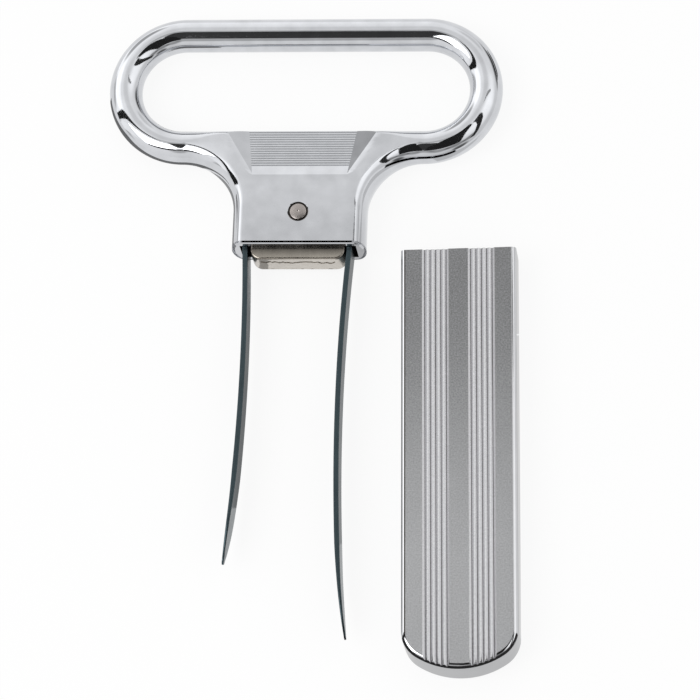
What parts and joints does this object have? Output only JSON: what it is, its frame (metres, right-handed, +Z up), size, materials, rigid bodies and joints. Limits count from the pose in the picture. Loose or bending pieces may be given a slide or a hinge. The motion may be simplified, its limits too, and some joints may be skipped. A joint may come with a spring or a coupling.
{
  "type": "two-prong cork puller",
  "caption": "Cork puller with a finger-loop handle, a ribbed thumb ramp, hooked spring-steel prongs that rock on a pinned block, and a fluted sheath cover.",
  "frame": {"origin": "middle of the footprint of the puller and its cover lying on their backs, on the table", "axes": "+Y from the prong tips towards the finger loop, +Z up from the table, +X from the puller to the cover"},
  "size_m": [0.0826, 0.1314, 0.0096],
  "materials": {
    "handle_chrome": "bright plated casting",
    "block_nickel": "warm nickel plate, punched",
    "pin_steel": "plain cut end",
    "prong_steel": "tempered, slightly blue",
    "cover_chrome": "satin flats between bright flutes"
  },
  "bodies": {
    "handle": {"handle": "handle_chrome", "spacer_block": "block_nickel", "cross_pin": "pin_steel"},
    "long_prong": {"long_prong": "prong_steel"},
    "short_prong": {"short_prong": "prong_steel"},
    "cover": {"cover": "cover_chrome"}
  },
  "joints": [
    {"name": "long_prong_rock", "type": "hinge", "parent": "handle", "child": "long_prong", "pos_m": [0.00595, 0.02656, 0.0048], "axis": [0, 0, 1], "range_deg": [-1.3, 3.5]},
    {"name": "short_prong_rock", "type": "hinge", "parent": "handle", "child": "short_prong", "pos_m": [-0.01189, 0.02656, 0.0048], "axis": [0, 0, -1], "range_deg": [-2.7, 2.1]},
    {"name": "cover_slide", "type": "slide", "parent": "handle", "child": "cover", "axis": [0.0316, -0.9995, 0], "range_m": [0, 0.09]}
  ]
}
